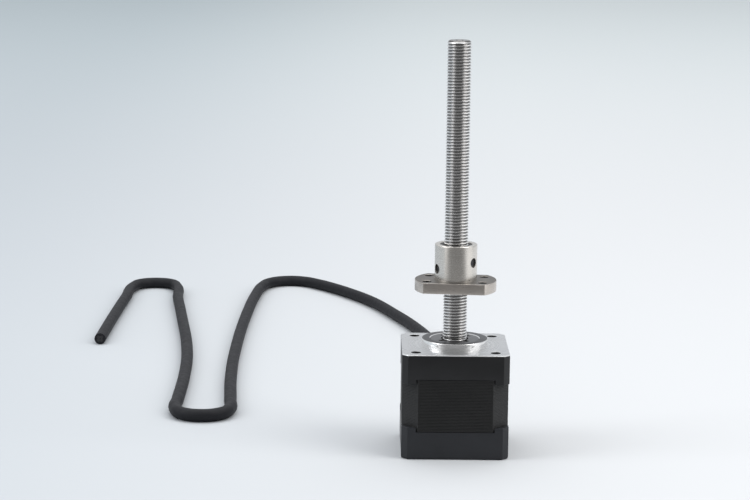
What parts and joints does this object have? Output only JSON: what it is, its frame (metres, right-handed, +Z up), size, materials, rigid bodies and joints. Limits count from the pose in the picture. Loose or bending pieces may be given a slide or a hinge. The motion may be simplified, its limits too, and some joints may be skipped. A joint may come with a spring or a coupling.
{
  "type": "stepper motor with ball screw",
  "caption": "Square stepper motor whose rotor shaft is a tall ball screw, carrying a flanged ball nut, with a bare-ended cable from the rear cap.",
  "frame": {"origin": "centre of the motor's rear face, on the surface that it stands on", "axes": "+Z up along the screw; +Y towards the side of the cable outlet; the motor's side faces are normal to X and Y"},
  "size_m": [0.1537, 0.2951, 0.136],
  "materials": {
    "black_painted_cap": "satin black paint over die-cast aluminium; the front face is bare machined aluminium",
    "stator_laminations": "stacked 0.5 mm electrical steel sheets painted black on the outside",
    "nylon_insulator": "natural moulded nylon",
    "copper_winding": null,
    "circuit_board": "green solder mask",
    "rubber_gland": "moulded black rubber",
    "cable_jacket": "matte dark grey-black extruded jacket",
    "lead_black": "wire insulation",
    "lead_green": "wire insulation",
    "lead_red": "wire insulation",
    "lead_blue": "wire insulation",
    "black_oxide_steel": "black oxide",
    "bearing_steel": "ground and polished",
    "shield_steel": "pressed sheet, satin",
    "retainer_steel": "turned steel, dull grey",
    "spring_steel": "rolled spring steel",
    "brass_cage": "pressed cage with its steel balls",
    "screw_steel": "rolled and polished thread, lightly oiled",
    "rotor_steel": "punched electrical steel, ground outside",
    "magnet": "sintered magnet",
    "nickel_steel": "ground and nickel plated, warm satin",
    "black_plastic": "moulded acetal"
  },
  "bodies": {
    "housing": {"rear_cap": "black_painted_cap", "front_cap": "black_painted_cap", "stator_core": "stator_laminations", "insulator_front": "nylon_insulator", "insulator_rear": "nylon_insulator", "coil_1": "copper_winding", "coil_2": "copper_winding", "coil_3": "copper_winding", "coil_4": "copper_winding", "coil_5": "copper_winding", "coil_6": "copper_winding", "coil_7": "copper_winding", "coil_8": "copper_winding", "lead_board": "circuit_board", "cable_gland": "rubber_gland", "lead_wire_1": "lead_black", "lead_wire_2": "lead_green", "lead_wire_3": "lead_red", "lead_wire_4": "lead_blue", "cable": "cable_jacket", "housing_bolt_1": "black_oxide_steel", "housing_bolt_2": "black_oxide_steel", "housing_bolt_3": "black_oxide_steel", "housing_bolt_4": "black_oxide_steel", "front_bearing_outer_race": "bearing_steel", "rear_bearing_outer_race": "bearing_steel", "front_bearing_upper_shield": "shield_steel", "front_bearing_lower_shield": "shield_steel", "wave_washer": "spring_steel", "bearing_retainer": "retainer_steel"},
    "screw": {"lead_screw": "screw_steel", "rotor_core_front": "rotor_steel", "rotor_magnet": "magnet", "rotor_core_rear": "rotor_steel", "front_bearing_inner_race": "bearing_steel", "rear_bearing_inner_race": "bearing_steel", "shaft_spacer": "spring_steel"},
    "front_cage": {"front_bearing_cage": "brass_cage"},
    "rear_cage": {"rear_bearing_cage": "brass_cage"},
    "nut": {"nut_body": "nickel_steel", "nut_wiper_lower": "black_plastic", "nut_wiper_upper": "black_plastic", "deflector_1": "black_plastic", "deflector_2": "black_plastic", "deflector_3": "black_plastic", "ball_circuit_1": "bearing_steel", "ball_circuit_2": "bearing_steel", "ball_circuit_3": "bearing_steel"}
  },
  "joints": [
    {"name": "screw_spin", "type": "hinge", "parent": "housing", "child": "screw", "pos_m": [0, 0, 0.035], "axis": [0, 0, -1], "range_deg": [-4680.5, 22320.5]},
    {"name": "nut_travel", "type": "slide", "parent": "housing", "child": "nut", "axis": [0, 0, 1], "range_m": [-0.013, 0.062]},
    {"name": "front_cage_spin", "type": "hinge", "parent": "housing", "child": "front_cage", "pos_m": [0, 0, 0.0337], "axis": [0, 0, -1], "range_deg": [-2048, 9765.5]},
    {"name": "rear_cage_spin", "type": "hinge", "parent": "housing", "child": "rear_cage", "pos_m": [0, 0, 0.0055], "axis": [0, 0, -1], "range_deg": [-1820.5, 8680.5]}
  ],
  "couplings": [
    {"joint": "screw_spin", "follows": "nut_travel", "rad_per_m": 6283.2},
    {"joint": "front_cage_spin", "follows": "nut_travel", "rad_per_m": 2726.3},
    {"joint": "rear_cage_spin", "follows": "nut_travel", "rad_per_m": 2443.5}
  ]
}
